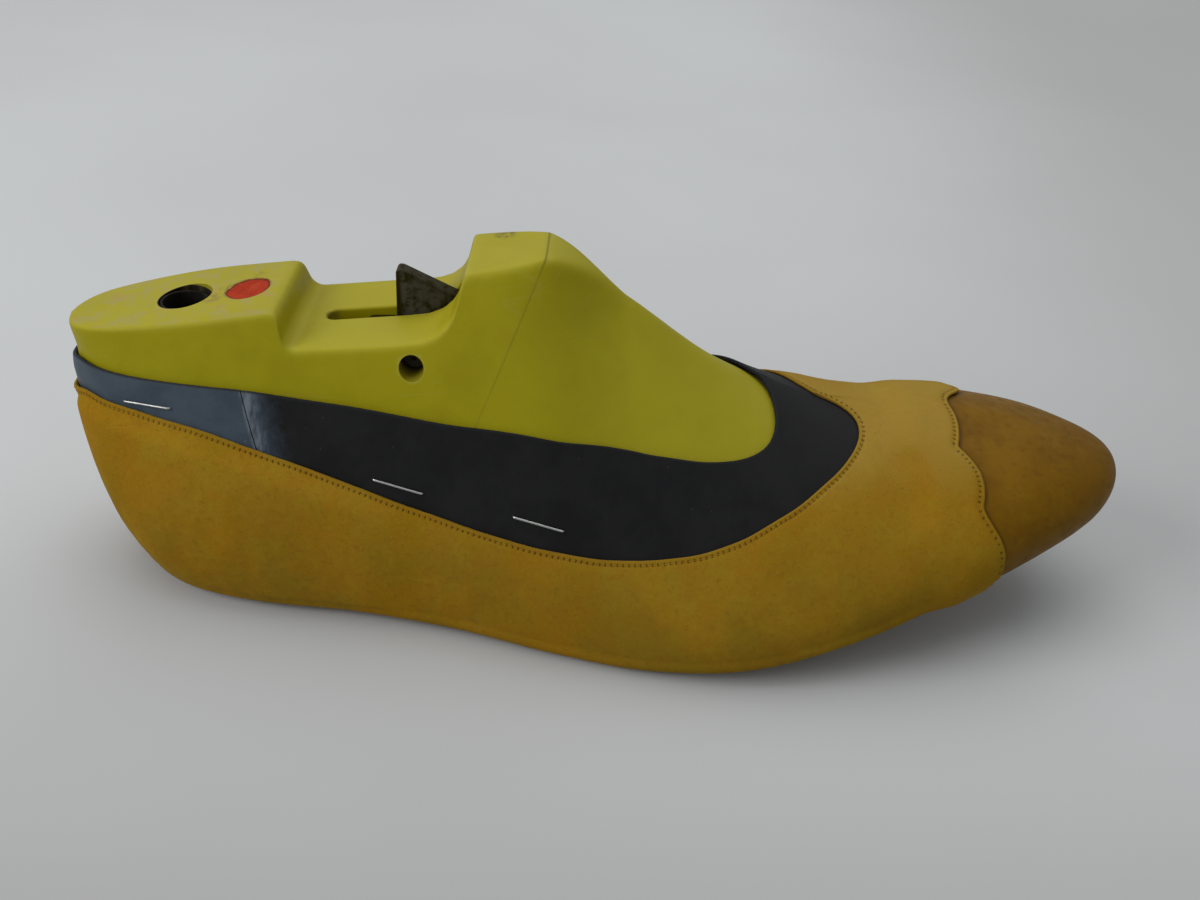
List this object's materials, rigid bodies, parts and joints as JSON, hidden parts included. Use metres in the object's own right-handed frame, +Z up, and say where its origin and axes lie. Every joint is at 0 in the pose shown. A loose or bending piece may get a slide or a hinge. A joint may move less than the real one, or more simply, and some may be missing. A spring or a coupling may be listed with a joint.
{
  "type": "cobbler last",
  "caption": "Two-part plastic cobbler last of a right foot with thimble, lock lever and slide, and a lasted suede pump upper with toe cap, linings, insole and staples on it.",
  "frame": {"origin": "middle of the box's lower face, on the surface that the lasted shoe stands on", "axes": "+X from heel to toe, +Z up, so the outer side of this right last faces -Y"},
  "size_m": [0.2624, 0.0886, 0.0901],
  "materials": {
    "yellow_plastic": "dense moulded plastic, satin, lightly scuffed",
    "bright_steel": "plain bright steel",
    "dark_steel": "dark oxidised steel",
    "red_plastic": "cut plastic rod",
    "insole_board": "fibre board",
    "black_lining": "matt black lining leather cloth",
    "grey_lining": "smooth grey lining cloth with a slight sheen",
    "stiffener": "impregnated canvas",
    "tan_suede": "brushed suede, mottled",
    "brown_leather": "smooth satin leather"
  },
  "bodies": {
    "forepart": {"forepart_block": "yellow_plastic", "guide_plate": "bright_steel", "guide_dowel_1": "bright_steel", "guide_dowel_2": "bright_steel", "shank": "bright_steel", "shank_rivet_1": "bright_steel", "shank_rivet_2": "bright_steel", "insole_tack_1": "bright_steel", "insole_tack_2": "bright_steel", "insole_tack_3": "bright_steel", "staple_lateral_3": "bright_steel", "staple_medial_3": "bright_steel", "insole_board": "insole_board", "vamp_lining": "black_lining", "heel_lining": "grey_lining", "heel_counter": "stiffener", "toe_puff": "stiffener", "suede_upper": "tan_suede", "toe_cap": "brown_leather"},
    "heel": {"heel_block": "yellow_plastic", "lever_pin": "bright_steel", "slide_pin": "bright_steel", "thimble": "bright_steel", "size_plug": "red_plastic", "heel_plate": "bright_steel", "heel_plate_nail_1": "bright_steel", "heel_plate_nail_2": "bright_steel", "heel_plate_nail_3": "bright_steel", "staple_lateral_1": "bright_steel", "staple_lateral_2": "bright_steel", "staple_medial_1": "bright_steel", "staple_medial_2": "bright_steel"},
    "lever": {"lock_lever": "dark_steel"}
  },
  "joints": [
    {"name": "heel_slide", "type": "slide", "parent": "forepart", "child": "heel", "axis": [0.3714, 0, 0.9285], "range_m": [0, 0.00657], "deforming": ["heel_lining", "vamp_lining"]},
    {"name": "lever_swing", "type": "hinge", "parent": "heel", "child": "lever", "pos_m": [-0.04507, 0.00301, 0.0667], "axis": [0, -1, 0], "range_deg": [0, 45]}
  ],
  "couplings": [
    {"joint": "lever_swing", "follows": "heel_slide", "rad_per_m": 119.48}
  ]
}
